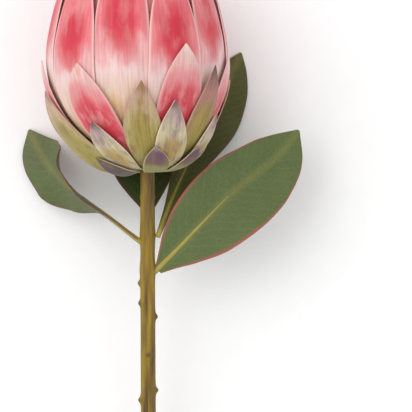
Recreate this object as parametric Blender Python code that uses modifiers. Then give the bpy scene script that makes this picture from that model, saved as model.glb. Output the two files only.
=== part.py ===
"""A cut protea flower lying on a table, as a florist lays down one stem.

Metres, +Z up, the table at Z 0. The flower head points along +Y and the stem runs back along -Y.
Everything is laid out in the plant's own frame first: Y runs up the head's axis from the top of the
stem, X goes to the right and Z away from the table. The plant's frame is then tipped, because the cut
end of the stem lies on the table and the round head holds the other end up.
"""

import math

import bmesh
import bpy
from mathutils import Matrix, Vector

MM = 0.001

# The lie of the plant on the table.
HEAD_TILT = math.radians(5.0)
AXIS_HEIGHT = 44.3 * MM
STEM_LENGTH = 230 * MM
STEM_TOP_RADIUS = 3.6 * MM
STEM_FOOT_RADIUS = 4.0 * MM
STEM_SAG = (AXIS_HEIGHT - STEM_LENGTH * math.sin(HEAD_TILT) - STEM_FOOT_RADIUS * 0.97) / math.cos(HEAD_TILT)

# The head: the shell that the long bracts lie on, as (radius, height) up its side.
SHELL_PROFILE = [
    (6.0, 6.0),
    (14.0, 6.9),
    (21.0, 10.2),
    (27.0, 15.0),
    (33.5, 22.0),
    (39.0, 30.5),
    (43.5, 41.0),
    (45.6, 52.5),
    (45.3, 64.0),
    (43.2, 75.0),
    (40.3, 86.0),
    (35.5, 97.0),
    (28.5, 106.5),
    (19.0, 113.5),
    (11.0, 116.5),
]
HEAD_LEAN = 5.5 * MM
LEAN_HEIGHT = 20 * MM
BRACT_THICKNESS = 0.7 * MM
TIP_HALF_WIDTH = 0.35 * MM

LEAF_THICKNESS = 0.7 * MM

# Grid steps of the sheets: along and across.
BRACT_STEPS = (9, 4)
SMALL_BRACT_STEPS = (6, 4)
LEAF_STEPS = (14, 6)


def clear_scene():
    for thing in list(bpy.data.objects):
        bpy.data.objects.remove(thing)


def new_collection(name):
    made = bpy.data.collections.new(name)
    bpy.context.scene.collection.children.link(made)
    return made


def material(name, colour, roughness, metallic=0.0):
    made = bpy.data.materials.new(name)
    made.use_nodes = True
    shader = made.node_tree.nodes["Principled BSDF"]
    shader.inputs["Base Color"].default_value = (*colour, 1.0)
    shader.inputs["Roughness"].default_value = roughness
    shader.inputs["Metallic"].default_value = metallic
    made.diffuse_color = (*colour, 1.0)
    return made


# Smooth curves through a few points.


def through(points, steps_each):
    """Points along the smooth curve (Catmull-Rom) through a list of vectors."""
    ends = [2 * points[0] - points[1], *points, 2 * points[-1] - points[-2]]
    found = []
    for a, b, c, d in zip(ends, ends[1:], ends[2:], ends[3:]):
        for step in range(steps_each):
            t = step / steps_each
            found.append(
                0.5 * (2 * b + (c - a) * t + (2 * a - 5 * b + 4 * c - d) * t**2 + (3 * b - a - 3 * c + d) * t**3)
            )
    return [*found, points[-1].copy()]


class Track:
    """A curve read by the distance along it."""

    def __init__(self, points, steps_each=12):
        self.points = through(points, steps_each)
        self.distances = [0.0]
        for a, b in zip(self.points, self.points[1:]):
            self.distances.append(self.distances[-1] + (b - a).length)
        self.length = self.distances[-1]

    def place(self, distance):
        """The point and the unit tangent at a distance."""
        distance = min(max(distance, 0.0), self.length)
        index = 0
        while index < len(self.points) - 2 and self.distances[index + 1] < distance:
            index += 1
        step = self.points[index + 1] - self.points[index]
        share = (distance - self.distances[index]) / step.length
        return self.points[index] + step * share, step.normalized()


def blend_through(stops, t):
    """A value read from (t, value) stops, smoothly between them."""
    if t <= stops[0][0]:
        return stops[0][1]
    for (t0, v0), (t1, v1) in zip(stops, stops[1:]):
        if t <= t1:
            share = (t - t0) / (t1 - t0)
            return v0 + (v1 - v0) * (share * share * (3 - 2 * share))
    return stops[-1][1]


def slope_through(stops, t):
    """A value read from (t, value) stops on a curve that doesn't flatten at them."""
    spots = [Vector((t0, value)) for t0, value in stops]
    curve = through(spots, 8)
    for a, b in zip(curve, curve[1:]):
        if t <= b.x:
            share = (t - a.x) / max(b.x - a.x, 1e-9)
            return a.y + (b.y - a.y) * share
    return curve[-1].y


# The plant's frame on the table.

PLANT_FRAME = Matrix.Translation((0, 0, AXIS_HEIGHT)) @ Matrix.Rotation(HEAD_TILT, 4, "X")


def above_table(x, y, height):
    """The plant-frame point at x and y whose height above the table is given, all in millimetres."""
    z = (height * MM - AXIS_HEIGHT - y * MM * math.sin(HEAD_TILT)) / math.cos(HEAD_TILT)
    return Vector((x * MM, y * MM, z))


def stem_centre(y):
    """The stem's centre in the plant's frame. It bends gently down to the table."""
    return Vector((0.0, y, -STEM_SAG * (y / STEM_LENGTH) ** 2))


def finish(thing, collection, parent, finish_material):
    thing.data.materials.clear()
    thing.data.materials.append(finish_material)
    collection.objects.link(thing)
    thing.parent = parent
    return thing


def sheet_mesh(name, steps, place):
    """A grid of steps along and across, each point moved to place(t, v), with t 0 to 1 and v -1 to 1."""
    along, across = steps
    mesh = bpy.data.meshes.new(name)
    shape = bmesh.new()
    bmesh.ops.create_grid(shape, x_segments=across, y_segments=along, size=1.0)
    for vertex in shape.verts:
        vertex.co = place((vertex.co.y + 1) / 2, vertex.co.x)
    shape.to_mesh(mesh)
    shape.free()
    return mesh


def thicken(thing, thickness, offset):
    shell = thing.modifiers.new("thickness", "SOLIDIFY")
    shell.thickness = thickness
    shell.offset = offset
    shell.use_even_offset = False
    return thing


# The head.

SHELL = Track([Vector((radius * MM, height * MM)) for radius, height in SHELL_PROFILE])


def axis_shift(height):
    """How far the head's middle lies to the left of the stem's line at a height."""
    return -HEAD_LEAN * (1 - math.exp(-((height / LEAN_HEIGHT) ** 2))) if height > 0 else 0.0


def head_point(distance, azimuth, lift):
    """A point over the shell: so far up its side, at this azimuth from the top, lifted off it outwards."""
    spot, tangent = SHELL.place(distance)
    radius = spot.x + tangent.y * lift
    height = spot.y - tangent.x * lift
    return Vector(
        (axis_shift(height) + radius * math.sin(azimuth), height, radius * math.cos(azimuth))
    )


def distance_at_height(height, lift):
    """How far up the shell's side a bract lifted by lift reaches this height."""
    low, high = 0.0, SHELL.length
    for _ in range(40):
        middle = (low + high) / 2
        spot, tangent = SHELL.place(middle)
        if spot.y - tangent.x * lift < height:
            low = middle
        else:
            high = middle
    return low


def bract_half_width(t, shape):
    """Half the bract's width at t: from its narrow base to the widest place, then in to a pointed tip."""
    half, base, widest, fullness = shape
    if t < widest:
        share = t / widest
        return base + (half - base) * math.sin(share * math.pi / 2) ** 1.1
    share = (t - widest) / (1 - widest)
    return max(half * (1 - share**fullness), TIP_HALF_WIDTH)


def bract(name, azimuth, tip_azimuth, tip_height, spread, lift, shape, steps):
    """One bract over the shell. Azimuths are in degrees from the head's upper side, towards +X.

    With a spread its lower-azimuth edge bellies out by that much, and the other edge stays down.
    """
    reach = distance_at_height(tip_height * MM, lift * MM)
    shape = (shape[0] * MM, shape[1] * MM, shape[2], shape[3])

    def place(t, v):
        distance = t * reach
        turn = math.radians(azimuth + (tip_azimuth - azimuth) * t**1.5)
        belly = spread * math.sin(math.pi * t**BELLY_POWER) * (1 - v) / 2
        stand = (lift + belly) * MM
        radius = max((head_point(distance, 0.0, stand)).z, 1 * MM)
        return head_point(distance, turn + v * bract_half_width(t, shape) / radius, stand)

    thing = bpy.data.objects.new(name, sheet_mesh(name, steps, place))
    return thicken(thing, BRACT_THICKNESS, -1.0)


# Each row of bracts, from the outside in: its lift off the shell, its colour and the bracts themselves as
# (azimuth, tip azimuth, tip height, spread). Those on the table's side follow the same spacing as the rest.
BASAL_SHAPE = (6.8, 2.0, 0.55, 2.0)
LOWER_SHAPE = (8.6, 2.1, 0.55, 1.9)
GREEN_SHAPE = (9.7, 2.1, 0.57, 1.9)
SHORT_SHAPE = (12.0, 2.0, 0.62, 2.5)
MAIN_SHAPE = (12.9, 1.6, 0.52, 2.0)
INNER_SHAPE = (11.6, 1.6, 0.60, 2.1)
HEART_SHAPE = (13.5, 2.2, 0.62, 2.2)

BASAL_BRACTS = [
    (15, 12, 14.5, 0),
    (60, 55, 14, 0),
    (112, 112, 15, 0),
    (160, 158, 10, 0),
    (212, 214, 11, 0),
    (313, 300, 8, 3),
]
LOWER_BRACTS = [
    (-31, -30, 27, 0),
    (28, 25.5, 37.5, 0),
    (74, 66, 30, 0),
    (121, 122, 31, 0),
    (166, 167, 28, 0),
    (209, 211, 31, 0),
    (252, 252, 27, 0),
]
GREEN_BRACTS = [
    (-66, -72, 41, 7),
    (4.5, 5, 47, 0),
    (51, 54.5, 54, 0),
    (101, 100, 46, 0),
    (149, 151, 48, 0),
    (201, 199, 45, 0),
    (253, 254, 43, 0),
]
SHORT_BRACTS = [
    (-24, -35, 55, 0),
    (29, 33, 64.5, 0),
    (78, 78, 58, 0),
    (127, 128, 61, 0),
    (177, 179, 57, 0),
    (228, 226, 62, 0),
    (282, 280, 56, 0),
]
MAIN_BRACTS = [
    (-42, -42, 104, 0),
    (-6, -9, 112, 0),
    (27.5, 27, 104, 0),
    (64, 61, 110, 0),
    (98, 97, 105, 0),
    (133, 134, 111, 0),
    (169, 168, 105, 0),
    (205, 206, 110, 0),
    (241, 240, 106, 0),
    (278, 279, 111, 0),
]
INNER_BRACTS = [(8 + 36 * n, 8 + 36 * n + (2, -2, 1)[n % 3], 114.5 - (n % 3), 0) for n in range(10)]
HEART_BRACTS = [(26 + 72 * n, 26 + 72 * n, 115.6, 0) for n in range(5)]

# Every second bract of the two long rows lies lower by this much, so that neighbours can overlap.
MAIN_STAGGER = 1.4
INNER_STAGGER = 1.1
# Below 1, this moves the belly of a spreading bract towards its base.
BELLY_POWER = 0.7


def build_bracts(collection, parent):
    green = material("bract_green", (0.56, 0.52, 0.26), 0.55)
    purple = material("bract_purple", (0.32, 0.19, 0.22), 0.55)
    pink = material("bract_pink", (0.80, 0.22, 0.24), 0.55)
    pale = material("bract_pale", (0.78, 0.50, 0.48), 0.55)
    rows = [
        ("basal_bract", BASAL_BRACTS, 5.8, 0, BASAL_SHAPE, purple, SMALL_BRACT_STEPS),
        ("lower_bract", LOWER_BRACTS, 4.3, 0, LOWER_SHAPE, green, SMALL_BRACT_STEPS),
        ("green_bract", GREEN_BRACTS, 2.9, 0, GREEN_SHAPE, green, BRACT_STEPS),
        ("short_bract", SHORT_BRACTS, 1.45, 0, SHORT_SHAPE, pink, BRACT_STEPS),
        ("main_bract", MAIN_BRACTS, 0.0, MAIN_STAGGER, MAIN_SHAPE, pink, BRACT_STEPS),
        ("inner_bract", INNER_BRACTS, -2.9, INNER_STAGGER, INNER_SHAPE, pale, BRACT_STEPS),
        ("heart_bract", HEART_BRACTS, -5.2, 0, HEART_SHAPE, pale, BRACT_STEPS),
    ]
    for name, members, lift, stagger, shape, colour, steps in rows:
        for index, placing in enumerate(members):
            stand = lift - stagger * (index % 2)
            thing = bract(f"{name}_{index + 1:02d}", *placing, stand, shape, steps)
            finish(thing, collection, parent, colour)


def turned(name, stops, segments=24, rings=14):
    """A closed round body up the head's axis, from (share of its height, radius) stops and its two heights."""
    low, high, radii = stops
    mesh = bpy.data.meshes.new(name)
    shape = bmesh.new()
    bmesh.ops.create_uvsphere(shape, u_segments=segments, v_segments=rings, radius=1.0)
    for vertex in shape.verts:
        share = (1 - math.acos(max(-1.0, min(1.0, vertex.co.z))) * 2 / math.pi + 1) / 2
        height = low + (high - low) * share
        flat = Vector((vertex.co.x, vertex.co.y))
        if flat.length > 1e-6:
            flat = flat.normalized() * blend_through(radii, share)
        vertex.co = (axis_shift(height) + flat.x, height, flat.y)
    bmesh.ops.reverse_faces(shape, faces=shape.faces)
    shape.to_mesh(mesh)
    shape.free()
    return bpy.data.objects.new(name, mesh)


def build_heart(collection, parent):
    """The receptacle that the bracts grow from, and the mass of florets on top of it."""
    receptacle = turned(
        "receptacle",
        (
            -0.0 * MM,
            20.5 * MM,
            [(0, 4.2 * MM), (0.1, 4.9 * MM), (0.55, 4.7 * MM), (0.8, 12 * MM), (0.92, 14.5 * MM), (1, 8 * MM)],
        ),
    )
    finish(receptacle, collection, parent, material("receptacle_pith", (0.60, 0.62, 0.38), 0.7))
    florets = turned(
        "florets",
        (
            21.2 * MM,
            107 * MM,
            [
                (0, 12 * MM),
                (0.06, 19 * MM),
                (0.22, 31 * MM),
                (0.45, 36.5 * MM),
                (0.62, 35 * MM),
                (0.8, 28 * MM),
                (0.92, 19 * MM),
                (1, 7 * MM),
            ],
        ),
    )
    finish(florets, collection, parent, material("floret_wool", (0.86, 0.72, 0.66), 0.8))


# The stem.

# Leaf scars as (distance below the head, azimuth), in millimetres and degrees from the upper side to +X.
LEAF_SCARS = [
    (21, 165),
    (56, -84),
    (66, -68),
    (73, 78),
    (92, 4),
    (111, 86),
    (116, -80),
    (136, 20),
    (151, 120),
    (168, -64),
    (187, 70),
    (204, -140),
]
SCAR_RADIUS = 1.9 * MM
SCAR_STAND = 1.3 * MM


def stem_radius(y):
    return STEM_TOP_RADIUS + (STEM_FOOT_RADIUS - STEM_TOP_RADIUS) * (-y / STEM_LENGTH)


def build_stem(collection, cutters, parent):
    line = bpy.data.curves.new("stem_line", "CURVE")
    line.dimensions = "3D"
    line.bevel_depth = 1.0
    line.bevel_resolution = 4
    line.use_fill_caps = True
    spline = line.splines.new("POLY")
    count = 24
    spline.points.add(count - 1)
    for index, point in enumerate(spline.points):
        y = -0.4 * MM - (STEM_LENGTH - 0.4 * MM) * index / (count - 1)
        point.co = (*stem_centre(y), 1.0)
        point.radius = stem_radius(y)
    guide = bpy.data.objects.new("stem_guide", line)
    cutters.objects.link(guide)
    bpy.context.view_layer.update()
    mesh = bpy.data.meshes.new_from_object(guide.evaluated_get(bpy.context.evaluated_depsgraph_get()))
    bpy.data.objects.remove(guide)
    shape = bmesh.new()
    shape.from_mesh(mesh)
    bmesh.ops.remove_doubles(shape, verts=shape.verts, dist=0.01 * MM)
    bmesh.ops.recalc_face_normals(shape, faces=shape.faces)
    shape.to_mesh(mesh)
    shape.free()
    mesh.name = "stem"
    stem = finish(
        bpy.data.objects.new("stem", mesh), collection, parent, material("stem_bark", (0.30, 0.22, 0.06), 0.6)
    )
    for number, (below, azimuth) in enumerate(LEAF_SCARS, 1):
        add_scar(stem, cutters, parent, number, -below * MM, math.radians(azimuth))


def add_scar(stem, cutters, parent, number, y, azimuth):
    """A small blunt cone where a leaf has dropped, joined to the stem and pointing a little upwards."""
    mesh = bpy.data.meshes.new(f"scar_{number}")
    shape = bmesh.new()
    depth = stem_radius(y) + SCAR_STAND
    bmesh.ops.create_cone(
        shape, cap_ends=True, segments=8, radius1=SCAR_RADIUS * 1.3, radius2=SCAR_RADIUS * 0.35, depth=depth
    )
    bmesh.ops.translate(shape, verts=shape.verts, vec=(0, 0, depth / 2))
    shape.to_mesh(mesh)
    shape.free()
    scar = bpy.data.objects.new(f"scar_{number}", mesh)
    cutters.objects.link(scar)
    scar.parent = parent
    outwards = Vector((math.sin(azimuth), 0.18, math.cos(azimuth)))
    scar.location = stem_centre(y)
    scar.rotation_mode = "QUATERNION"
    scar.rotation_quaternion = outwards.to_track_quat("Z", "Y")
    scar.hide_render = True
    scar.display_type = "WIRE"
    join = stem.modifiers.new(f"scar_{number}", "BOOLEAN")
    join.operation = "UNION"
    join.object = scar


# The leaves. The midrib is a list of (x, y, height above the table) and the half widths are those of the
# two sides of the blade as (t, width); roll turns the blade about its midrib and fold lifts its sides.

LEAVES = {
    "leaf_lower_right": {
        "midrib": [
            (4.7, -49, 40.4),
            (16, -37.5, 41.0),
            (26.5, -26.5, 41.0),
            (41.5, -11.5, 39.5),
            (57, 0.5, 36.0),
            (67, 8.5, 32.0),
            (76.5, 20, 25.5),
        ],
        "left": [(0, 1.2), (0.08, 6.5), (0.16, 11.5), (0.31, 17), (0.5, 18.5), (0.72, 15), (0.87, 10.5), (1, 0.5)],
        "right": [(0, 2.6), (0.08, 7), (0.16, 12), (0.31, 19.5), (0.52, 23), (0.72, 20), (0.87, 12), (1, 0.5)],
        "roll": [(0, 0), (1, 0)],
        "fold": 8,
    },
    "leaf_upper_right": {
        "midrib": [
            (5.8, -30.5, 41.2),
            (9.3, -21.5, 36.0),
            (14.5, -9, 26.5),
            (22, 6, 12.1),
            (32.5, 27, 3.2),
            (41.5, 46, 1.5),
            (47.5, 59, 0.4),
        ],
        "left": [(0, 1.4), (0.12, 2.2), (0.24, 4), (0.4, 8), (0.6, 12), (0.8, 10), (0.92, 6), (1, 0.5)],
        "right": [(0, 1.4), (0.12, 2.4), (0.24, 5), (0.4, 9.5), (0.62, 15.5), (0.8, 13.5), (0.92, 7.5), (1, 0.5)],
        "roll": [(0, 10), (0.5, 14), (0.8, 6), (1, 0)],
        "fold": 6,
    },
    "leaf_left": {
        "midrib": [
            (-4.6, -34, 42.0),
            (-10, -30, 41.5),
            (-17, -24.5, 40.0),
            (-24, -19.5, 37.5),
            (-31.5, -14.5, 33.0),
            (-40, -9, 26.0),
            (-49, -1.5, 16.5),
            (-57, 8, 7.0),
            (-63, 19, 0.4),
        ],
        "left": [(0, 1.4), (0.1, 4), (0.25, 9), (0.45, 15.5), (0.65, 17), (0.85, 11), (1, 0.5)],
        "right": [(0, 1.4), (0.1, 4), (0.25, 8.5), (0.45, 15), (0.65, 16), (0.85, 10), (1, 0.5)],
        "roll": [(0, 75), (0.3, 84), (0.5, 62), (0.7, 30), (0.88, 6), (1, 0)],
        "fold": 10,
    },
    "leaf_behind_head": {
        "midrib": [
            (0.2, -21, 37.2),
            (0, -12, 32.4),
            (-0.5, 0, 23.2),
            (-1, 9.5, 13.6),
            (-1.5, 20, 5.6),
            (-2, 30, 1.7),
            (-3, 42, 0.45),
            (-4, 60, 0.4),
            (-4, 77, 0.4),
        ],
        "left": [(0, 1.6), (0.1, 10.5), (0.22, 17.5), (0.4, 20), (0.65, 18), (0.85, 11), (1, 0.5)],
        "right": [(0, 1.6), (0.1, 8), (0.22, 13.5), (0.4, 16.5), (0.65, 16), (0.85, 10.5), (1, 0.5)],
        "roll": [(0, 0), (1, 0)],
        "fold": 0,
    },
}


def leaf_place(leaf):
    """place(t, v) of a leaf's middle surface, in the plant's frame."""
    track = Track([above_table(*spot) for spot in leaf["midrib"]])

    def place(t, v):
        spot, tangent = track.place(t * track.length)
        level = tangent.cross(Vector((0, 0, 1))).normalized()
        up = level.cross(tangent)
        roll = math.radians(blend_through(leaf["roll"], t))
        side = level * math.cos(roll) + up * math.sin(roll)
        rise = side.cross(tangent)
        width = slope_through(leaf["right" if v > 0 else "left"], t) * MM
        fold = math.radians(leaf["fold"]) * math.sin(math.pi * min(1.0, t * 1.2)) if t < 0.83 else 0.0
        return spot + side * (v * width * math.cos(fold)) + rise * (abs(v) * width * math.sin(fold))

    return place


def build_leaves(collection, parent):
    green = material("leaf_green", (0.13, 0.17, 0.06), 0.5)
    for name, leaf in LEAVES.items():
        thing = bpy.data.objects.new(name, sheet_mesh(name, LEAF_STEPS, leaf_place(leaf)))
        thicken(thing, LEAF_THICKNESS, 0.0)
        finish(thing, collection, parent, green)


def centre_on_table(parent, collection):
    """Moves the plant so that the origin lies on the table under the middle of its bounding box."""
    bpy.context.view_layer.update()
    graph = bpy.context.evaluated_depsgraph_get()
    corners = []
    for thing in collection.objects:
        shown = thing.evaluated_get(graph)
        mesh = shown.to_mesh()
        corners += [shown.matrix_world @ vertex.co for vertex in mesh.vertices]
        shown.to_mesh_clear()
    low = [min(corner[axis] for corner in corners) for axis in range(3)]
    high = [max(corner[axis] for corner in corners) for axis in range(3)]
    move = Vector((-(low[0] + high[0]) / 2, -(low[1] + high[1]) / 2, -low[2]))
    parent.matrix_world = Matrix.Translation(move) @ PLANT_FRAME


def main():
    clear_scene()
    flower = new_collection("protea_flower")
    cutters = new_collection("cutters")
    plant = bpy.data.objects.new("plant", None)
    flower.objects.link(plant)
    plant.matrix_world = PLANT_FRAME
    bpy.context.view_layer.update()
    pieces = new_collection("pieces")
    build_stem(pieces, cutters, plant)
    build_leaves(pieces, plant)
    build_bracts(pieces, plant)
    build_heart(pieces, plant)
    centre_on_table(plant, pieces)


main()
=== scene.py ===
import math
import random

import bmesh
import bpy
from mathutils import Matrix, Vector


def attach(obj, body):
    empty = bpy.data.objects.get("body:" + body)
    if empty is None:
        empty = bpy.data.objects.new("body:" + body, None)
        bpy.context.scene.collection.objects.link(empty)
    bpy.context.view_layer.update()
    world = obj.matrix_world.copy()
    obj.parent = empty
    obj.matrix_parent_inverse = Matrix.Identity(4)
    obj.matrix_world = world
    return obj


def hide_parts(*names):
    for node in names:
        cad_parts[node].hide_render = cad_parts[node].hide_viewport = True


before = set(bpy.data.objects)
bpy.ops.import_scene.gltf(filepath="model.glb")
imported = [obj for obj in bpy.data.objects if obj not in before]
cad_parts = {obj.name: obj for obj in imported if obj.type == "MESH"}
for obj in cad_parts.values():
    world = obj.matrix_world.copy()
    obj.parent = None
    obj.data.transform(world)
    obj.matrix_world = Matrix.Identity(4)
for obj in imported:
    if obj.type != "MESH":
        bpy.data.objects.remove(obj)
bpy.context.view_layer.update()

# The lie of the plant. A cut protea rests on its round head and its leaves, and the cut end of the woody
# stem lies on the table, so the whole plant is tipped by a few degrees. The receptacle's lowest point is
# where the stem meets the head, and every piece is laid out from there in millimetres along the plant.
MM = 0.001
HEAD_TILT = math.radians(5.0)
plant_axis = Vector((0, math.cos(HEAD_TILT), math.sin(HEAD_TILT)))
stem_top = min((v.co.copy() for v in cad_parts["receptacle"].data.vertices), key=plant_axis.dot)
plant_frame = Matrix.Translation(stem_top) @ Matrix.Rotation(HEAD_TILT, 4, "X")

# The bracts: stiff, leathery leaves that stand in rows round the flower and overlap like roof tiles. They
# grow from the receptacle. The long ones are coral in the middle and white towards the foot, the short
# ones below them are olive and cream with plum tips, and every rim is thin, pale and a little downy. The
# rim's pale paint is also partly painted highlight, for the thin edge where it catches the light.
# The head's outline is (radius, height) in millimetres. A pattern's size is in millimetres too.
SHELL_PROFILE = [
    (6.0, 6.0),
    (14.0, 6.9),
    (21.0, 10.2),
    (27.0, 15.0),
    (33.5, 22.0),
    (39.0, 30.5),
    (43.5, 41.0),
    (45.6, 52.5),
    (45.3, 64.0),
    (43.2, 75.0),
    (40.3, 86.0),
    (35.5, 97.0),
    (28.5, 106.5),
    (19.0, 113.5),
    (11.0, 116.5),
]
HEAD_LEAN = 5.5 * MM
LEAN_HEIGHT = 20 * MM
BELLY_POWER = 0.7
FOOT_POWER = 1.1
TIP_HALF_WIDTH = 0.25
BRACT_THICKNESS = 0.6 * MM
BRACT_STEPS = (34, 14)
CLOUD_WIDTH = 9
FIBRE_WIDTH = 1.1
FIBRE_STRETCH = 0.05
FIBRE_DEPTH = 0.25 * MM


def through(points, steps_each):
    """Points along the smooth curve through a list of vectors."""
    ends = [2 * points[0] - points[1], *points, 2 * points[-1] - points[-2]]
    found = []
    for a, b, c, d in zip(ends, ends[1:], ends[2:], ends[3:]):
        for step in range(steps_each):
            t = step / steps_each
            cubic = 3 * b - a - 3 * c + d
            found.append(0.5 * (2 * b + (c - a) * t + (2 * a - 5 * b + 4 * c - d) * t**2 + cubic * t**3))
    return [*found, points[-1].copy()]


class Track:
    """A curve read by the distance along it."""

    def __init__(self, points, steps_each=12):
        self.points = through(points, steps_each)
        self.distances = [0.0]
        for a, b in zip(self.points, self.points[1:]):
            self.distances.append(self.distances[-1] + (b - a).length)
        self.length = self.distances[-1]

    def place(self, distance):
        distance = min(max(distance, 0.0), self.length)
        index = 0
        while index < len(self.points) - 2 and self.distances[index + 1] < distance:
            index += 1
        step = self.points[index + 1] - self.points[index]
        share = (distance - self.distances[index]) / step.length
        return self.points[index] + step * share, step.normalized()


shell_line = Track([Vector((radius * MM, height * MM)) for radius, height in SHELL_PROFILE])


def axis_shift(height):
    """How far the head's own axis has leaned over at this height above the stem."""
    return -HEAD_LEAN * (1 - math.exp(-((height / LEAN_HEIGHT) ** 2))) if height > 0 else 0.0


def head_point(distance, azimuth, lift):
    """The place this far up the head's outline, turned round it, and raised off it by lift."""
    spot, tangent = shell_line.place(distance)
    radius = spot.x + tangent.y * lift
    height = spot.y - tangent.x * lift
    return Vector((axis_shift(height) + radius * math.sin(azimuth), height, radius * math.cos(azimuth)))


def distance_at_height(height, lift):
    """How far up the outline a bract raised by lift has to run for its tip to reach this height."""
    low, high = 0.0, shell_line.length
    for _ in range(40):
        middle = (low + high) / 2
        spot, tangent = shell_line.place(middle)
        if spot.y - tangent.x * lift < height:
            low = middle
        else:
            high = middle
    return low


def bract_half_width(t, shape):
    """Half the width in millimetres at t along a bract: it swells from the foot and closes to the tip."""
    half, foot, widest, fullness = shape
    if t < widest:
        return foot + (half - foot) * math.sin(t / widest * math.pi / 2) ** FOOT_POWER
    return max(half * (1 - ((t - widest) / (1 - widest)) ** fullness), TIP_HALF_WIDTH)


def sheet(name, steps, place, thickness, finish, inner_finish=None):
    """A thin sheet through place(t, v), t 0 to 1 along it and v -1 to 1 across, with both kept as UV maps.

    The map named share holds v and t, and the map named size holds millimetres over 100, so a pattern of
    W millimetres has the scale 100 / W on it.
    """
    along, across = steps
    mesh = bpy.data.meshes.new(name)
    shape = bmesh.new()
    bmesh.ops.create_grid(shape, x_segments=across, y_segments=along, size=1.0)
    share = shape.loops.layers.uv.new("share")
    size = shape.loops.layers.uv.new("size")
    flat = {vertex: ((vertex.co.y + 1) / 2, vertex.co.x) for vertex in shape.verts}
    middle = {}
    for vertex in shape.verts:
        t, v = flat[vertex]
        vertex.co = place(t, v)
        if abs(v) < 1e-6:
            middle[round(t, 5)] = vertex.co.copy()
    line = sorted(middle)
    runs = {line[0]: 0.0}
    for before, after in zip(line, line[1:]):
        runs[after] = runs[before] + (middle[after] - middle[before]).length
    for face in shape.faces:
        for loop in face.loops:
            t, v = flat[loop.vert]
            key = round(t, 5)
            loop[share].uv = ((v + 1) / 2, t)
            width = (loop.vert.co - middle[key]).length * (1 if v > 0 else -1)
            loop[size].uv = (width / (100 * MM), runs[key] / (100 * MM))
        face.smooth = True
    shape.transform(plant_frame)
    shape.to_mesh(mesh)
    shape.free()
    piece = bpy.data.objects.new(name, mesh)
    bpy.context.scene.collection.objects.link(piece)
    mesh.materials.append(finish)
    mesh.materials.append(inner_finish or finish)
    shell = piece.modifiers.new("thickness", "SOLIDIFY")
    shell.thickness = thickness
    shell.offset = -1.0
    shell.use_even_offset = False
    shell.material_offset = 1 if inner_finish else 0
    shell.use_quality_normals = True
    soft = piece.modifiers.new("soft", "SUBSURF")
    soft.levels = 1
    soft.render_levels = 1
    return piece


def linear(code):
    """A colour for a shader from its sRGB hex code."""
    shares = [int(code[place : place + 2], 16) / 255 for place in (1, 3, 5)]
    return (*[s / 12.92 if s <= 0.04045 else ((s + 0.055) / 1.055) ** 2.4 for s in shares], 1.0)


def add(tree, kind, inputs=None, **settings):
    """A node with its settings, whose inputs are links where a socket is given and values elsewhere."""
    made = tree.nodes.new(kind)
    for name, value in settings.items():
        setattr(made, name, value)
    for name, value in (inputs or {}).items():
        if isinstance(value, bpy.types.NodeSocket):
            tree.links.new(value, made.inputs[name])
        else:
            made.inputs[name].default_value = value
    return made


def new_material(name):
    """A material and its tree, emptied but for the shader and the output."""
    made = bpy.data.materials.new(name)
    made.use_nodes = True
    return made, made.node_tree, made.node_tree.nodes["Principled BSDF"]


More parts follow.
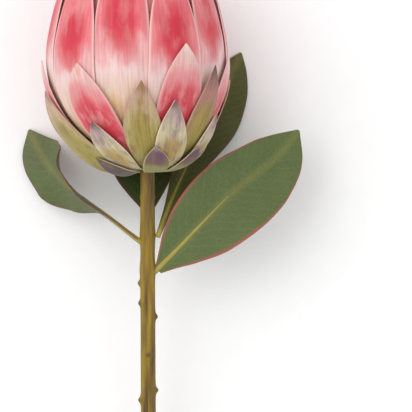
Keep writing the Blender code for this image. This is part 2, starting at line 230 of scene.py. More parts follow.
def bract_finish(name, along, rim, patch, blotches, streak, seed=0.0):
    """Leathery petal-like plant skin, matte under a faint wax bloom, with fibres that run up it.

    along is the colour from foot to tip, and rim (colour, where it starts across the half width) is the pale
    margin, partly painted highlight where the thin edge catches the light. patch is (colour, middle, reach,
    strength) up the bract's centre, and blotches (colour, amount, millimetres).
    """
    made, tree, shader = new_material(name)
    share = add(tree, "ShaderNodeUVMap", uv_map="share").outputs[0]
    size = add(tree, "ShaderNodeUVMap", uv_map="size").outputs[0]
    parts = add(tree, "ShaderNodeSeparateXYZ", {0: share})
    across = add(tree, "ShaderNodeMath", {0: parts.outputs[0], 1: 2.0, 2: -1.0}, operation="MULTIPLY_ADD")
    side = add(tree, "ShaderNodeMath", {0: across.outputs[0]}, operation="ABSOLUTE").outputs[0]
    moved = add(tree, "ShaderNodeVectorMath", {0: size, 1: (seed, seed * 1.7, 0)}, operation="ADD").outputs[0]

    cloud_place = add(tree, "ShaderNodeMapping", {0: moved, "Scale": (1.0, 0.45, 1.0)}).outputs[0]
    cloud_scale = 100 / CLOUD_WIDTH
    cloud = add(tree, "ShaderNodeTexNoise", {"Vector": cloud_place, "Scale": cloud_scale, "Detail": 3.0})
    drift = add(tree, "ShaderNodeMath", {0: cloud.outputs[0], 1: 0.22, 2: -0.11}, operation="MULTIPLY_ADD")
    bent = add(tree, "ShaderNodeMath", {0: parts.outputs[1], 1: drift.outputs[0]}, operation="ADD")
    ramp = add(tree, "ShaderNodeValToRGB", {0: bent.outputs[0]})
    ramp.color_ramp.interpolation = "EASE"
    while len(ramp.color_ramp.elements) < len(along):
        ramp.color_ramp.elements.new(1.0)
    for stop, (position, colour) in zip(ramp.color_ramp.elements, along):
        stop.position = position
        stop.color = linear(colour)
    paint = ramp.outputs[0]

    patch_colour, patch_middle, patch_reach, patch_strength = patch
    off = add(tree, "ShaderNodeMath", {0: bent.outputs[0], 1: patch_middle}, operation="SUBTRACT")
    long_way = add(tree, "ShaderNodeMath", {0: off.outputs[0], 1: patch_reach}, operation="DIVIDE")
    long_square = add(tree, "ShaderNodeMath", {0: long_way.outputs[0], 1: 2.0}, operation="POWER")
    wide_way = add(tree, "ShaderNodeMath", {0: side, 1: 0.85}, operation="DIVIDE")
    wide_square = add(tree, "ShaderNodeMath", {0: wide_way.outputs[0], 1: 2.0}, operation="POWER")
    far = add(tree, "ShaderNodeMath", {0: long_square.outputs[0], 1: wide_square.outputs[0]}, operation="ADD")
    inside = add(
        tree, "ShaderNodeMapRange", {0: far.outputs[0], 1: 1.0, 2: 0.0, 3: 0.0, 4: patch_strength},
        interpolation_type="SMOOTHSTEP",
    )
    paint = add(
        tree, "ShaderNodeMix", {0: inside.outputs[0], 6: paint, 7: linear(patch_colour)}, data_type="RGBA"
    ).outputs[2]

    blotch_colour, blotch_amount, blotch_mm = blotches
    spots = add(tree, "ShaderNodeTexNoise", {"Vector": cloud_place, "Scale": 100 / blotch_mm, "Detail": 4.0})
    where = add(
        tree, "ShaderNodeMapRange", {0: spots.outputs[0], 1: 0.47, 2: 0.66, 3: 0.0, 4: blotch_amount},
        interpolation_type="SMOOTHSTEP",
    )
    paint = add(
        tree, "ShaderNodeMix", {0: where.outputs[0], 6: paint, 7: linear(blotch_colour)}, data_type="RGBA"
    ).outputs[2]

    # Real fibres are a few tenths of a millimetre apart. They are drawn about three times as coarse, to show.
    fibre_place = add(tree, "ShaderNodeMapping", {0: moved, "Scale": (1.0, FIBRE_STRETCH, 1.0)}).outputs[0]
    fibre_scale = 100 / FIBRE_WIDTH
    fibre = add(tree, "ShaderNodeTexNoise", {"Vector": fibre_place, "Scale": fibre_scale, "Detail": 3.0})
    darkest = 1 - streak * 0.5
    lightest = 1 + streak * 0.35
    tone = add(tree, "ShaderNodeMapRange", {0: fibre.outputs[0], 1: 0.3, 2: 0.7, 3: darkest, 4: lightest})
    paint = add(tree, "ShaderNodeHueSaturation", {"Value": tone.outputs[0], "Color": paint}).outputs[0]

    # The rim: the bract's own pale margin, and partly painted highlight where the thin edge catches the
    # light.
    rim_colour, rim_start = rim
    pale_rim_and_highlight = add(
        tree, "ShaderNodeMapRange", {0: side, 1: rim_start, 2: 1.0, 3: 0.0, 4: 0.85},
        interpolation_type="SMOOTHSTEP",
    )
    paint = add(
        tree, "ShaderNodeMix", {0: pale_rim_and_highlight.outputs[0], 6: paint, 7: linear(rim_colour)}, data_type="RGBA"
    ).outputs[2]
    tree.links.new(paint, shader.inputs["Base Color"])
    bump = add(
        tree, "ShaderNodeBump", {"Height": fibre.outputs[0], "Strength": 0.35, "Distance": FIBRE_DEPTH}
    )
    tree.links.new(bump.outputs[0], shader.inputs["Normal"])
    shader.inputs["Roughness"].default_value = 0.58
    shader.inputs["Specular IOR Level"].default_value = 0.3
    shader.inputs["Sheen Weight"].default_value = 0.15
    return made


# The colours of each kind of bract, by the share of its length at which each one stands.
MAIN_ALONG = [
    (0.00, "#CDBE94"),
    (0.33, "#D8B48C"),
    (0.41, "#DDC0AE"),
    (0.49, "#E0C2BF"),
    (0.56, "#DEA6A6"),
    (0.64, "#DC787E"),
    (0.78, "#D8666E"),
    (0.92, "#DC7E80"),
    (1.00, "#E8BDB2"),
]
SHORT_ALONG = [
    (0.0, "#C6A06C"),
    (0.3, "#C95A58"),
    (0.5, "#CB3F4B"),
    (0.66, "#D0565F"),
    (0.8, "#D88A8C"),
    (0.91, "#DDB4AE"),
    (1.0, "#E4CCC2"),
]
GREEN_ALONG = [(0.0, "#AFA873"), (0.35, "#A69C5E"), (0.6, "#AC9D68"), (0.85, "#B89A80"), (1.0, "#A0706A")]
RUSSET_ALONG = [(0.0, "#A59C6C"), (0.35, "#9A8E56"), (0.6, "#A2825C"), (0.8, "#A8746A"), (1.0, "#56373A")]
LOWER_ALONG = [(0.0, "#B3AF7C"), (0.4, "#B8B080"), (0.66, "#C4B898"), (0.86, "#B09A92"), (1.0, "#6E545A")]
BASAL_ALONG = [(0.0, "#A5A060"), (0.45, "#8C8850"), (0.62, "#6F5548"), (0.85, "#66475A"), (1.0, "#8A7478")]
# basal_bract_06 faces down, away from the light: its dark brown is partly its own plum and partly painted
# shade.
PLUM_AND_SHADE_ALONG = [(0.0, "#7A6A58"), (0.4, "#4F3D3A"), (1.0, "#463430")]
INNER_ALONG = [(0.0, "#D9C3A6"), (0.5, "#E0B8B2"), (0.75, "#DE9A98"), (1.0, "#EBCBC2")]

# Each bract: the azimuth of its foot and of its tip in degrees, the height of its tip in millimetres, and how
# far one edge bellies out.
BASAL_BRACTS = [
    (15, 12, 14.5, 0),
    (60, 55, 14, 0),
    (112, 112, 15, 0),
    (160, 158, 10, 0),
    (212, 214, 11, 0),
    (313, 300, 8, 3),
]
LOWER_BRACTS = [
    (-31, -30, 27, 0),
    (28, 25.5, 37.5, 0),
    (74, 66, 30, 0),
    (121, 122, 31, 0),
    (166, 167, 28, 0),
    (209, 211, 31, 0),
    (252, 252, 27, 0),
]
GREEN_BRACTS = [
    (-66, -72, 41, 7),
    (4.5, 5, 47, 0),
    (51, 54.5, 54, 0),
    (101, 100, 46, 0),
    (149, 151, 48, 0),
    (201, 199, 45, 0),
    (253, 254, 43, 0),
]
SHORT_BRACTS = [
    (-24, -35, 55, 0),
    (29, 33, 64.5, 0),
    (78, 78, 58, 0),
    (127, 128, 61, 0),
    (177, 179, 57, 0),
    (228, 226, 62, 0),
    (282, 280, 56, 0),
]
MAIN_BRACTS = [
    (-42, -42, 104, 0),
    (-6, -9, 112, 0),
    (27.5, 27, 104, 0),
    (64, 61, 110, 0),
    (98, 97, 105, 0),
    (133, 134, 111, 0),
    (169, 168, 105, 0),
    (205, 206, 110, 0),
    (241, 240, 106, 0),
    (278, 279, 111, 0),
]
INNER_BRACTS = [(8 + 36 * n, 8 + 36 * n + (2, -2, 1)[n % 3], 114.5 - (n % 3), 0) for n in range(10)]
HEART_BRACTS = [(26 + 72 * n, 26 + 72 * n, 115.6, 0) for n in range(5)]

# Each row: its members, how far it stands off the head's outline, how much lower every second one stands,
# and its shape as (half width, half width at the foot, where it is widest, how full the tip is).
ROWS = {
    "basal_bract": {
        "members": BASAL_BRACTS,
        "lift": 5.8,
        "stagger": 0,
        "shape": (6.8, 2.0, 0.55, 2.0),
        "slot": "bract_purple",
        "along": BASAL_ALONG,
        "rim": ("#C3B08A", 0.86),
        "patch": ("#6A3B55", 0.74, 0.25, 0.7),
        "blotches": ("#7F7A4E", 0.35, 5),
        "streak": 0.3,
    },
    "lower_bract": {
        "members": LOWER_BRACTS,
        "lift": 4.3,
        "stagger": 0,
        "shape": (8.6, 2.1, 0.55, 1.9),
        "slot": "bract_green",
        "along": LOWER_ALONG,
        "rim": ("#DCCBA8", 0.88),
        "patch": ("#A5822A", 0.46, 0.26, 0.8),
        "blotches": ("#85606A", 0.6, 4),
        "streak": 0.4,
    },
    "green_bract": {
        "members": GREEN_BRACTS,
        "lift": 2.9,
        "stagger": 0,
        "shape": (9.7, 2.1, 0.57, 1.9),
        "slot": "bract_green",
        "along": GREEN_ALONG,
        "rim": ("#BE8E80", 0.86),
        "patch": ("#94822A", 0.5, 0.34, 0.75),
        "blotches": ("#8F7434", 0.7, 4.5),
        "streak": 0.5,
    },
    "short_bract": {
        "members": SHORT_BRACTS,
        "lift": 1.45,
        "stagger": 0,
        "shape": (12.0, 2.0, 0.62, 2.5),
        "slot": "bract_pink",
        "along": SHORT_ALONG,
        "rim": ("#E2ACA8", 0.8),
        "patch": ("#C22F40", 0.56, 0.26, 0.8),
        "blotches": ("#D98A88", 0.65, 4.5),
        "streak": 0.35,
    },
    "main_bract": {
        "members": MAIN_BRACTS,
        "lift": 0.0,
        "stagger": 1.1,
        "shape": (14.3, 1.6, 0.54, 2.3),
        "slot": "bract_pink",
        "along": MAIN_ALONG,
        "rim": ("#EBC4BC", 0.86),
        "patch": ("#C62439", 0.67, 0.17, 0.95),
        "blotches": ("#DDA09C", 0.3, 9),
        "streak": 0.32,
    },
    "inner_bract": {
        "members": INNER_BRACTS,
        "lift": -2.9,
        "stagger": 1.1,
        "shape": (11.6, 1.6, 0.60, 2.1),
        "slot": "bract_pale",
        "along": INNER_ALONG,
        "rim": ("#ECCDC6", 0.7),
        "patch": ("#D4606A", 0.7, 0.18, 0.6),
        "blotches": ("#E0A8A4", 0.3, 9),
        "streak": 0.3,
    },
    "heart_bract": {
        "members": HEART_BRACTS,
        "lift": -5.2,
        "stagger": 0,
        "shape": (13.5, 2.2, 0.62, 2.2),
        "slot": "bract_pale",
        "along": INNER_ALONG,
        "rim": ("#ECCDC6", 0.7),
        "patch": ("#D98088", 0.8, 0.15, 0.5),
        "blotches": ("#E0A8A4", 0.3, 9),
        "streak": 0.3,
    },
}
OWN_COLOURS = {"basal_bract_06": PLUM_AND_SHADE_ALONG, "green_bract_03": RUSSET_ALONG}


def bract(name, placing, lift, shape, finish, inside):
    """One bract, placed by its foot's azimuth, its tip's azimuth, its tip's height and one edge's belly."""
    azimuth, tip_azimuth, tip_height, spread = placing
    reach = distance_at_height(tip_height * MM, lift * MM)
    wave = random.Random(name).uniform(0, math.tau)

    def place(t, v):
        half = bract_half_width(t, shape) * MM
        turn = math.radians(azimuth + (tip_azimuth - azimuth) * t**1.5)
        belly = spread * math.sin(math.pi * t**BELLY_POWER) * (1 - v) / 2
        # A faint keel up the middle, and a rim that waves a little.
        keel = 0.16 * math.exp(-((v / 0.16) ** 2)) * math.sin(math.pi * min(t * 1.1, 1))
        ripple = 0.12 * abs(v) ** 4 * math.sin(wave + 9 * t)
        stand = (lift + belly + keel + ripple) * MM
        radius = max(head_point(t * reach, 0.0, stand).z, 1 * MM)
        return head_point(t * reach, turn + v * half / radius, stand)

    return sheet(name, BRACT_STEPS, place, BRACT_THICKNESS, finish, inside)


inside_of_bracts = bract_finish(
    "bract inner skin",
    along=[(0, "#CFC6A8"), (1, "#E0C2B8")],
    rim=("#E2CFC0", 0.8),
    patch=("#D9A9A4", 0.7, 0.3, 0.4),
    blotches=("#D9B8A8", 0.3, 8),
    streak=0.25,
)
for row_name, row in ROWS.items():
    for index, placing in enumerate(row["members"]):
        node_name = f"{row_name}_{index + 1:02d}"
        finish = bract_finish(
            f"{node_name} skin",
            along=OWN_COLOURS.get(node_name, row["along"]),
            rim=row["rim"],
            patch=row["patch"],
            blotches=row["blotches"],
            streak=row["streak"],
            seed=1.7 * index + 0.3,
        )
        lift = row["lift"] - row["stagger"] * (index % 2)
        piece = bract(f"{node_name}_skin", placing, lift, row["shape"], finish, inside_of_bracts)
        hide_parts(node_name)
        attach(piece, "root")


# The florets: a few hundred thin tubes packed upright in the cup, silky with pink and white hairs. They
# grow from the top of the receptacle. The dome that they pack into is one body, with the outer ends of the
# florets standing from it.
FLORET_LOW = 21.2 * MM
FLORET_HIGH = 107 * MM
# The dome's radius in millimetres at each share of its height.
FLORET_RADII = [(0, 12), (0.06, 19), (0.22, 31), (0.45, 36.5), (0.62, 35), (0.8, 28), (0.92, 19), (1, 7)]
FLORET_COUNT = 170
FLORET_RADIUS = 0.75 * MM
FLORET_STEPS = 7
FLORET_FOOT_HEIGHT = 74 * MM
FLORET_FOOT_SPREAD = 26 * MM
FLORET_TIP_SPREAD = 13.5 * MM
GOLDEN_ANGLE = math.radians(137.508)
HAIR_WIDTH = 0.8
TINT_WIDTH = 7


def blend_through(stops, t):
    """The value at t between stops of (t, value), eased from each to the next."""
    if t <= stops[0][0]:
        return stops[0][1]
    for (t0, v0), (t1, v1) in zip(stops, stops[1:]):
        if t <= t1:
            share = (t - t0) / (t1 - t0)
            return v0 + (v1 - v0) * (share * share * (3 - 2 * share))
    return stops[-1][1]


# Silky plant hair: it lies along the florets in fine ridges, and looks soft and matte with a pale sheen.
wool, tree, shader = new_material("floret wool")
place = add(tree, "ShaderNodeTexCoord").outputs["Object"]
hair_place = add(tree, "ShaderNodeMapping", {0: place, "Scale": (1.0, 0.12, 1.0)}).outputs[0]
hair = add(tree, "ShaderNodeTexNoise", {"Vector": hair_place, "Scale": 1000 / HAIR_WIDTH, "Detail": 3.0})
tint = add(tree, "ShaderNodeTexNoise", {"Vector": place, "Scale": 1000 / TINT_WIDTH, "Detail": 2.0})
pink = add(
    tree, "ShaderNodeMix", {0: tint.outputs[0], 6: linear("#E9D5C8"), 7: linear("#D7A09C")}, data_type="RGBA"
)
tone = add(tree, "ShaderNodeMapRange", {0: hair.outputs[0], 1: 0.3, 2: 0.7, 3: 0.7, 4: 1.15})
lit = add(tree, "ShaderNodeHueSaturation", {"Value": tone.outputs[0], "Color": pink.outputs[2]})
tree.links.new(lit.outputs[0], shader.inputs["Base Color"])
bump = add(tree, "ShaderNodeBump", {"Height": hair.outputs[0], "Strength": 0.7, "Distance": 0.4 * MM})
tree.links.new(bump.outputs[0], shader.inputs["Normal"])
shader.inputs["Roughness"].default_value = 0.8
shader.inputs["Sheen Weight"].default_value = 0.4

shape = bmesh.new()
bmesh.ops.create_uvsphere(shape, u_segments=64, v_segments=40, radius=1.0)
for vertex in shape.verts:
    share = 1 - math.acos(max(-1.0, min(1.0, vertex.co.z))) / math.pi
    height = FLORET_LOW + (FLORET_HIGH - 9 * MM - FLORET_LOW) * share
    flat = Vector((vertex.co.x, vertex.co.y))
    if flat.length > 1e-6:
        flat = flat.normalized() * blend_through(FLORET_RADII, share) * MM
    vertex.co = (axis_shift(height) + flat.x, height, flat.y)
for number in range(FLORET_COUNT):
    ring = math.sqrt((number + 0.5) / FLORET_COUNT)
    turn = number * GOLDEN_ANGLE
    foot = Vector((math.sin(turn), 0, math.cos(turn))) * (FLORET_FOOT_SPREAD * ring)
    tip = Vector((math.sin(turn + 0.1), 0, math.cos(turn + 0.1))) * (FLORET_TIP_SPREAD * ring)
    foot.y = FLORET_FOOT_HEIGHT
    tip.y = FLORET_HIGH - (2 + 7 * ring**2) * MM
    shift = Vector((-HEAD_LEAN, 0, 0))
    rings = []
    for step in range(FLORET_STEPS + 1):
        t = step / FLORET_STEPS
        bow = Vector((foot.x, 0, foot.z)) * 0.18 * math.sin(math.pi * t)
        centre = foot.lerp(tip, t) + bow + shift
        # Each floret ends in a small knob.
        width = FLORET_RADIUS * (1.15 if step == FLORET_STEPS - 1 else 0.35 if step == FLORET_STEPS else 0.8)
        rings.append(
            [
                shape.verts.new(centre + Vector((math.cos(a), 0, math.sin(a))) * width)
                for a in [math.tau * k / 6 for k in range(6)]
            ]
        )
    for a, b in zip(rings, rings[1:]):
        for k in range(6):
            shape.faces.new((a[k], b[k], b[(k + 1) % 6], a[(k + 1) % 6]))
    shape.faces.new(rings[0])
    shape.faces.new(rings[-1][::-1])
bmesh.ops.recalc_face_normals(shape, faces=shape.faces)
for face in shape.faces:
    face.smooth = True
mesh = bpy.data.meshes.new("floret_mass")
shape.transform(plant_frame)
shape.to_mesh(mesh)
shape.free()
mesh.materials.append(wool)
florets = bpy.data.objects.new("floret_mass", mesh)
bpy.context.scene.collection.objects.link(florets)
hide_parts("florets")
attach(florets, "root")


# The receptacle: the solid green pith under the florets that every bract grows from. It is hidden by them,
# so its own solid stays, with the grain of cut plant tissue.
# Cut plant pith: soft, fibrous and matte, with a grain of about 1.5 mm.
PITH_GRAIN = 1.5
pith, tree, shader = new_material("receptacle pith")
place = add(tree, "ShaderNodeTexCoord").outputs["Object"]
grain = add(tree, "ShaderNodeTexNoise", {"Vector": place, "Scale": 1000 / PITH_GRAIN, "Detail": 3.0})
mixed = add(
    tree, "ShaderNodeMix", {0: grain.outputs[0], 6: linear("#8F9050"), 7: linear("#B5B07A")}, data_type="RGBA"
)
tree.links.new(mixed.outputs[2], shader.inputs["Base Color"])
shader.inputs["Roughness"].default_value = 0.7
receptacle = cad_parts["receptacle"]
receptacle.data.materials.clear()
receptacle.data.materials.append(pith)


# The stem: a woody shoot, olive where the bark is young and brown below, cut square at its foot. It swells
# at each leaf, and small blunt scars are left where leaves have dropped.
STEM_LENGTH = 230 * MM
STEM_TOP_RADIUS = 3.6 * MM
STEM_FOOT_RADIUS = 4.0 * MM
STEM_GIRTH = 24 * MM
STEM_TUCK = 1.2 * MM
STEM_RINGS = 300
STEM_SIDES = 40
# Where each dropped leaf was: (millimetres below the head, azimuth in degrees).
LEAF_SCARS = [
    (21, 165),
    (56, -84),
    (66, -68),
    (73, 78),
    (92, 4),
    (111, 86),
    (116, -80),
    (136, 20),
    (151, 120),
    (168, -64),
    (187, 70),
    (204, -140),
]
STEM_SAG = 20.4 * MM
# Rings round the bark where leaves grew: (millimetres below the head, half length, how far they stand out).
BARK_RINGS = [(32, 5, 0.35), (49, 4, 0.45), (12.5, 1.1, 0.28)]
SCAR_LENGTH = 1.5
SCAR_TURN = 0.42
SCAR_HEIGHT = 1.25
BARK_GRAIN = 1.6
BARK_PATCH = 6
BARK_DEPTH = 0.3 * MM


def stem_centre(y):
    """The middle of the stem: it curves down to the table towards its foot."""
    return Vector((0.0, y, -STEM_SAG * (y / STEM_LENGTH) ** 2))


def stem_radius(y):
    return STEM_TOP_RADIUS + (STEM_FOOT_RADIUS - STEM_TOP_RADIUS) * (-y / STEM_LENGTH)


def swelling(y, turn):
    """How far the bark stands out of its plain round, in millimetres."""
    below = -y / MM
    out = sum(height * math.exp(-(((below - middle) / reach) ** 2)) for middle, reach, height in BARK_RINGS)
    for middle, azimuth in LEAF_SCARS:
        around = (turn - math.radians(azimuth) + math.pi) % math.tau - math.pi
        away = ((below - middle) / SCAR_LENGTH) ** 2 + (around / SCAR_TURN) ** 2
        skirt = ((below - middle) / 3.5) ** 2 + (around / 1.2) ** 2
        out += SCAR_HEIGHT * math.exp(-away) + 0.2 * math.exp(-skirt)
    return out


# Young bark: smooth and fibrous with a dull wax, browner in long patches, and dark at each scar.
bark, tree, shader = new_material("young woody bark")
size = add(tree, "ShaderNodeUVMap", uv_map="size").outputs[0]
long_place = add(tree, "ShaderNodeMapping", {0: size, "Scale": (1.0, 0.12, 1.0)}).outputs[0]
grain = add(tree, "ShaderNodeTexNoise", {"Vector": long_place, "Scale": 100 / BARK_GRAIN, "Detail": 4.0})
patches = add(tree, "ShaderNodeTexNoise", {"Vector": long_place, "Scale": 100 / BARK_PATCH, "Detail": 3.0})
ramp = add(tree, "ShaderNodeValToRGB", {0: patches.outputs[0]})
for stop, (position, colour) in zip(ramp.color_ramp.elements, [(0.38, "#553A0C"), (0.6, "#95790C")]):
    stop.position = position
    stop.color = linear(colour)
dark = add(tree, "ShaderNodeMapRange", {0: grain.outputs[0], 1: 0.3, 2: 0.7, 3: 0.78, 4: 1.12})
toned = add(tree, "ShaderNodeHueSaturation", {"Value": dark.outputs[0], "Color": ramp.outputs[0]})
worn = add(tree, "ShaderNodeAttribute", attribute_name="scar").outputs["Fac"]
scarred = add(tree, "ShaderNodeMix", {0: worn, 6: toned.outputs[0], 7: linear("#4A2F14")}, data_type="RGBA")
tree.links.new(scarred.outputs[2], shader.inputs["Base Color"])
bump = add(tree, "ShaderNodeBump", {"Height": grain.outputs[0], "Strength": 0.5, "Distance": BARK_DEPTH})
tree.links.new(bump.outputs[0], shader.inputs["Normal"])
shader.inputs["Roughness"].default_value = 0.55

shape = bmesh.new()
size_map = shape.loops.layers.uv.new("size")
scar_layer = shape.verts.layers.float.new("scar")
rings = []
for step in range(STEM_RINGS + 1):
    y = STEM_TUCK - (STEM_LENGTH + STEM_TUCK) * step / STEM_RINGS
    ring = []
    for side in range(STEM_SIDES):
        turn = math.tau * side / STEM_SIDES
        out = swelling(y, turn)
        radius = stem_radius(y) + out * MM
        vertex = shape.verts.new(stem_centre(y) + Vector((math.sin(turn), 0, math.cos(turn))) * radius)
        vertex[scar_layer] = min(max(out - 0.55, 0.0) * 1.1, 0.8)
        ring.append(vertex)
    rings.append(ring)
for step, (a, b) in enumerate(zip(rings, rings[1:])):
    for side in range(STEM_SIDES):
        after = (side + 1) % STEM_SIDES
        face = shape.faces.new((a[side], b[side], b[after], a[after]))
        face.smooth = True
        for loop, (dx, dy) in zip(face.loops, ((0, 0), (0, 1), (1, 1), (1, 0))):
            around = (side + dx) / STEM_SIDES
            down = (step + dy) / STEM_RINGS
            loop[size_map].uv = (around * STEM_GIRTH / (100 * MM), down * STEM_LENGTH / (100 * MM))
shape.faces.new(rings[0][::-1])
shape.faces.new(rings[-1])
bmesh.ops.recalc_face_normals(shape, faces=shape.faces)
mesh = bpy.data.meshes.new("bark")
shape.transform(plant_frame)
shape.to_mesh(mesh)
shape.free()
mesh.materials.append(bark)
stem = bpy.data.objects.new("bark", mesh)
bpy.context.scene.collection.objects.link(stem)
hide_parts("stem")
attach(stem, "root")


# The leaves: thick, leathery blades, grey-green with a red rim and a raised yellow midrib that runs on into
# the stalk. Each joins the stem at a slight swelling. The hidden ones lie under the head.
LEAF_THICKNESS = 0.6 * MM
LEAF_STEPS = (56, 22)
VEIN_SPACING = 5.5
VEIN_SLANT = 1.1
LEAF_CLOUD = 14
VEIN_WOBBLE = 10
RIM_FRAY = 3
LEAF_SPECK = 1.2
LEAF_RELIEF = 0.3 * MM
MIDRIB_MOTTLE = 4
MIDRIB_SHARE = 0.8
MIDRIB_STEPS = 60
MIDRIB_SIDES = 10
MIDRIB_TUCK = 2.4 * MM
# Each leaf: its midrib as (across, along, height over the table), the blade's width at each side of it, how
# far it rolls over along its length and folds up along the midrib in degrees, and its colours (dark green,
# light green, rim).
LEAVES = {
    "leaf_lower_right": {
        "midrib": [
            (4.7, -49, 40.4),
            (16, -37.5, 41.0),
            (26.5, -26.5, 41.0),
            (41.5, -11.5, 39.5),
            (57, 0.5, 36.0),
            (67, 8.5, 32.0),
            (76.5, 20, 25.5),
        ],
        "left": [
            (0, 1.2), (0.08, 6.5), (0.16, 11.5), (0.31, 17), (0.5, 18.5), (0.72, 15), (0.87, 10.5), (1, 0.5),
        ],
        "right": [
            (0, 2.6), (0.08, 7), (0.16, 12), (0.31, 19.5), (0.52, 23), (0.72, 20), (0.87, 12), (1, 0.5),
        ],
        "roll": [(0, 0), (1, 0)],
        "fold": 8,
        "skin": ("#4A5A30", "#5D6B3A", "#A4504C"),
    },
    "leaf_upper_right": {
        "midrib": [
            (5.8, -30.5, 41.2),
            (9.3, -21.5, 36.0),
            (14.5, -9, 26.5),
            (22, 6, 12.1),
            (32.5, 27, 3.2),
            (41.5, 46, 1.5),
            (47.5, 59, 0.4),
        ],
        "left": [(0, 1.4), (0.12, 2.2), (0.24, 4), (0.4, 8), (0.6, 12), (0.8, 10), (0.92, 6), (1, 0.5)],
        "right": [
            (0, 1.4), (0.12, 2.4), (0.24, 5), (0.4, 9.5), (0.62, 15.5), (0.8, 13.5), (0.92, 7.5), (1, 0.5),
        ],
        "roll": [(0, 10), (0.5, 14), (0.8, 6), (1, 0)],
        "fold": 6,
        "skin": ("#454A20", "#525A2A", "#6B3A2A"),
    },
    "leaf_left": {
        "midrib": [
            (-4.6, -34, 42.0),
            (-10, -30, 41.5),
            (-17, -24.5, 40.0),
            (-24, -19.5, 37.5),
            (-31.5, -14.5, 33.0),
            (-40, -9, 26.0),
            (-49, -1.5, 16.5),
            (-57, 8, 7.0),
            (-63, 19, 0.4),
        ],
        "left": [(0, 1.4), (0.1, 4), (0.25, 9), (0.45, 15.5), (0.65, 17), (0.85, 11), (1, 0.5)],
        "right": [(0, 1.4), (0.1, 4), (0.25, 8.5), (0.45, 15), (0.65, 16), (0.85, 10), (1, 0.5)],
        "roll": [(0, 75), (0.3, 84), (0.5, 62), (0.7, 30), (0.88, 6), (1, 0)],
        "fold": 10,
        "skin": ("#4C5530", "#5F6A40", "#7A4038"),
    },
    "leaf_behind_head": {
        "midrib": [
            (0.2, -21, 37.2),
            (0, -12, 32.4),
            (-0.5, 0, 23.2),
            (-1, 9.5, 13.6),
            (-1.5, 20, 5.6),
            (-2, 30, 1.7),
            (-3, 42, 0.45),
            (-4, 60, 0.4),
            (-4, 77, 0.4),
        ],
        "left": [(0, 1.6), (0.1, 10.5), (0.22, 17.5), (0.4, 20), (0.65, 18), (0.85, 11), (1, 0.5)],
        "right": [(0, 1.6), (0.1, 8), (0.22, 13.5), (0.4, 16.5), (0.65, 16), (0.85, 10.5), (1, 0.5)],
        "roll": [(0, 0), (1, 0)],
        "fold": 0,
        "skin": ("#2E3D1C", "#3C4A24", "#5A3028"),
    },
}


def slope_through(stops, t):
    """The value at t on the smooth curve through stops of (t, value)."""
    curve = through([Vector((place, value)) for place, value in stops], 8)
    for a, b in zip(curve, curve[1:]):
        if t <= b.x:
            share = (t - a.x) / max(b.x - a.x, 1e-9)
            return a.y + (b.y - a.y) * share
    return curve[-1].y


def above_table(x, y, height):
    """A place on the plant given across, along, and by its height over the table, all in millimetres."""
    z = (height * MM - stem_top.z - y * MM * math.sin(HEAD_TILT)) / math.cos(HEAD_TILT)
    return Vector((x * MM, y * MM, z))


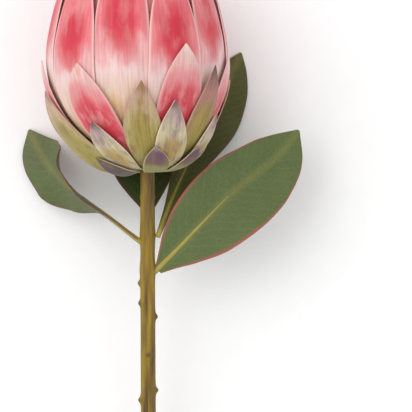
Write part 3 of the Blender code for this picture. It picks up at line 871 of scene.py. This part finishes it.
def leaf_finish(name, dark_green, light_green, rim_colour):
    """Leaf skin under plant wax: a soft gloss, faint side veins that slant forward, and a red rim."""
    made, tree, shader = new_material(name)
    share = add(tree, "ShaderNodeUVMap", uv_map="share").outputs[0]
    size = add(tree, "ShaderNodeUVMap", uv_map="size").outputs[0]
    parts = add(tree, "ShaderNodeSeparateXYZ", {0: share})
    across = add(tree, "ShaderNodeMath", {0: parts.outputs[0], 1: 2.0, 2: -1.0}, operation="MULTIPLY_ADD")
    side = add(tree, "ShaderNodeMath", {0: across.outputs[0]}, operation="ABSOLUTE").outputs[0]
    spread = add(tree, "ShaderNodeSeparateXYZ", {0: size})
    wide = add(tree, "ShaderNodeMath", {0: spread.outputs[0]}, operation="ABSOLUTE").outputs[0]
    cloud = add(tree, "ShaderNodeTexNoise", {"Vector": size, "Scale": 100 / LEAF_CLOUD, "Detail": 4.0})
    green = add(
        tree, "ShaderNodeMix", {0: cloud.outputs[0], 6: linear(dark_green), 7: linear(light_green)},
        data_type="RGBA",
    ).outputs[2]
    slant = add(
        tree, "ShaderNodeMath", {0: wide, 1: -VEIN_SLANT, 2: spread.outputs[1]}, operation="MULTIPLY_ADD"
    )
    wobble = add(tree, "ShaderNodeTexNoise", {"Vector": size, "Scale": 100 / VEIN_WOBBLE, "Detail": 2.0})
    bent = add(
        tree, "ShaderNodeMath", {0: wobble.outputs[0], 1: 0.05, 2: slant.outputs[0]}, operation="MULTIPLY_ADD"
    )
    turns = math.tau * 100 / VEIN_SPACING
    phase = add(tree, "ShaderNodeMath", {0: bent.outputs[0], 1: turns}, operation="MULTIPLY")
    wave = add(tree, "ShaderNodeMath", {0: phase.outputs[0]}, operation="SINE")
    vein = add(
        tree, "ShaderNodeMapRange", {0: wave.outputs[0], 1: 0.86, 2: 1.0, 3: 0.0, 4: 0.1},
        interpolation_type="SMOOTHSTEP",
    )
    veined = add(
        tree, "ShaderNodeMix", {0: vein.outputs[0], 6: green, 7: linear("#8C8C4A")}, data_type="RGBA"
    ).outputs[2]
    near = add(
        tree, "ShaderNodeMapRange", {0: wide, 1: 0.035, 2: 0.0, 3: 0.0, 4: 0.28},
        interpolation_type="SMOOTHSTEP",
    )
    warmed = add(
        tree, "ShaderNodeMix", {0: near.outputs[0], 6: veined, 7: linear("#8E8440")}, data_type="RGBA"
    ).outputs[2]
    foot = add(tree, "ShaderNodeMapRange", {0: parts.outputs[1], 1: 0.0, 2: 0.6, 3: 0.8, 4: 0.95})
    frayed = add(tree, "ShaderNodeTexNoise", {"Vector": size, "Scale": 100 / RIM_FRAY, "Detail": 3.0})
    loose = add(tree, "ShaderNodeMath", {0: frayed.outputs[0], 1: 0.05, 2: side}, operation="MULTIPLY_ADD")
    rim = add(
        tree, "ShaderNodeMapRange", {0: loose.outputs[0], 1: foot.outputs[0], 2: 1.02, 3: 0.0, 4: 0.9},
        interpolation_type="SMOOTHSTEP",
    )
    painted = add(
        tree, "ShaderNodeMix", {0: rim.outputs[0], 6: warmed, 7: linear(rim_colour)}, data_type="RGBA"
    ).outputs[2]
    speck = add(tree, "ShaderNodeTexNoise", {"Vector": size, "Scale": 100 / LEAF_SPECK, "Detail": 2.0})
    tone = add(tree, "ShaderNodeMapRange", {0: speck.outputs[0], 1: 0.3, 2: 0.7, 3: 0.9, 4: 1.1})
    lit = add(tree, "ShaderNodeHueSaturation", {"Value": tone.outputs[0], "Color": painted})
    tree.links.new(lit.outputs[0], shader.inputs["Base Color"])
    raised = add(
        tree, "ShaderNodeMath", {0: vein.outputs[0], 1: 1.5, 2: speck.outputs[0]}, operation="MULTIPLY_ADD"
    )
    bump = add(
        tree, "ShaderNodeBump", {"Height": raised.outputs[0], "Strength": 0.3, "Distance": LEAF_RELIEF}
    )
    tree.links.new(bump.outputs[0], shader.inputs["Normal"])
    shader.inputs["Roughness"].default_value = 0.5
    shader.inputs["Specular IOR Level"].default_value = 0.35
    return made


# The midrib: tough yellow plant fibre under the leaf's own wax, mottled along its length.
midrib_skin, tree, shader = new_material("leaf midrib")
place = add(tree, "ShaderNodeTexCoord").outputs["Object"]
grain = add(tree, "ShaderNodeTexNoise", {"Vector": place, "Scale": 1000 / MIDRIB_MOTTLE, "Detail": 3.0})
mixed = add(
    tree, "ShaderNodeMix", {0: grain.outputs[0], 6: linear("#8A7A2C"), 7: linear("#A8A048")}, data_type="RGBA"
)
tree.links.new(mixed.outputs[2], shader.inputs["Base Color"])
shader.inputs["Roughness"].default_value = 0.5

for node_name, leaf in LEAVES.items():
    track = Track([above_table(*spot) for spot in leaf["midrib"]])
    wave = random.Random(node_name).uniform(0, math.tau)

    def leaf_place(t, v, rise_off=0.5 * LEAF_THICKNESS):
        spot, tangent = track.place(t * track.length)
        level = tangent.cross(Vector((0, 0, 1))).normalized()
        up = level.cross(tangent)
        roll = math.radians(blend_through(leaf["roll"], t))
        side = level * math.cos(roll) + up * math.sin(roll)
        rise = side.cross(tangent)
        width = slope_through(leaf["right" if v > 0 else "left"], t) * MM
        fold = math.radians(leaf["fold"]) * math.sin(math.pi * min(1.0, t * 1.2)) if t < 0.83 else 0.0
        flutter = 0.25 * MM * abs(v) ** 3 * math.sin(wave + 11 * t)
        lift = abs(v) * width * math.sin(fold) + flutter + rise_off
        return spot + side * (v * width * math.cos(fold)) + rise * lift

    finish = leaf_finish(f"{node_name} skin", *leaf["skin"])
    piece = sheet(f"{node_name}_blade", LEAF_STEPS, leaf_place, LEAF_THICKNESS, finish)
    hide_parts(node_name)
    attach(piece, "root")

    shape = bmesh.new()
    rings = []
    for step in range(MIDRIB_STEPS + 1):
        t = MIDRIB_SHARE * step / MIDRIB_STEPS
        spot, tangent = track.place(t * track.length)
        if step == 0:
            spot = spot - tangent * MIDRIB_TUCK
        level = tangent.cross(Vector((0, 0, 1))).normalized()
        up = level.cross(tangent)
        width = (0.12 + 1.25 * (1 - t / 0.82) ** 1.6) * MM
        centre = leaf_place(t, 0.0, 0.1 * MM) if step else spot
        rings.append(
            [
                shape.verts.new(centre + (level * math.cos(a) + up * math.sin(a) * 0.75) * width)
                for a in [math.tau * k / MIDRIB_SIDES for k in range(MIDRIB_SIDES)]
            ]
        )
    for a, b in zip(rings, rings[1:]):
        for k in range(MIDRIB_SIDES):
            after = (k + 1) % MIDRIB_SIDES
            shape.faces.new((a[k], a[after], b[after], b[k])).smooth = True
    shape.faces.new(rings[0][::-1])
    shape.faces.new(rings[-1])
    bmesh.ops.recalc_face_normals(shape, faces=shape.faces)
    mesh = bpy.data.meshes.new(f"{node_name}_midrib")
    shape.transform(plant_frame)
    shape.to_mesh(mesh)
    shape.free()
    mesh.materials.append(midrib_skin)
    rib = bpy.data.objects.new(f"{node_name}_midrib", mesh)
    bpy.context.scene.collection.objects.link(rib)
    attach(rib, "root")


# The table, the light and the camera. The table is plain white card, the light is a wide soft window from
# the upper left with a pale room round it, and the camera looks straight down.
CARD_FLECK = 25 / 3
CARD_SIZE = 3.0
# Uncoated card: matte, and white but for the faintest cloud in the paper.
card, tree, shader = new_material("white card")
place = add(tree, "ShaderNodeTexCoord").outputs["Object"]
fleck = add(tree, "ShaderNodeTexNoise", {"Vector": place, "Scale": 1000 / CARD_FLECK, "Detail": 2.0})
paper = add(
    tree, "ShaderNodeMix", {0: fleck.outputs[0], 6: linear("#F4F4F4"), 7: linear("#F7F7F7")}, data_type="RGBA"
)
tree.links.new(paper.outputs[2], shader.inputs["Base Color"])
shader.inputs["Roughness"].default_value = 0.9
shape = bmesh.new()
bmesh.ops.create_grid(shape, x_segments=1, y_segments=1, size=CARD_SIZE)
mesh = bpy.data.meshes.new("table")
shape.to_mesh(mesh)
shape.free()
mesh.materials.append(card)
table = bpy.data.objects.new("table", mesh)
bpy.context.scene.collection.objects.link(table)

ROOM_STRENGTH = 0.85
room = bpy.data.worlds.new("pale room")
bpy.context.scene.world = room
room.use_nodes = True
room_light = room.node_tree.nodes["Background"]
room_light.inputs["Color"].default_value = (1, 1, 1, 1)
room_light.inputs["Strength"].default_value = ROOM_STRENGTH
bpy.context.scene.view_settings.view_transform = "Standard"

LIT_POINT = Vector((0, 0, 0.03))


def soft_light(name, power, size, place):
    """A square light of this size in metres that faces the flower."""
    lamp = bpy.data.lights.new(name, "AREA")
    lamp.energy = power
    lamp.size = size
    holder = bpy.data.objects.new(name, lamp)
    bpy.context.scene.collection.objects.link(holder)
    holder.location = place
    holder.rotation_euler = (LIT_POINT - Vector(place)).to_track_quat("-Z", "Y").to_euler()


soft_light("window", 9.0, 1.2, (-0.8, 0.5, 1.1))
soft_light("fill", 3.0, 1.5, (0.9, -0.4, 1.2))

CAMERA_HEIGHT = 1.0
VIEW_WIDTH = 206 * MM
VIEW_MIDDLE = (29.25, -17, 0)
view_middle = plant_frame @ (Vector(VIEW_MIDDLE) * MM)
lens = bpy.data.cameras.new("camera")
lens.angle = 2 * math.atan(VIEW_WIDTH / 2 / CAMERA_HEIGHT)
camera = bpy.data.objects.new("camera", lens)
bpy.context.scene.collection.objects.link(camera)
camera.location = view_middle + Vector((0, 0, CAMERA_HEIGHT))
camera.rotation_euler = (0, 0, 0)
bpy.context.scene.camera = camera
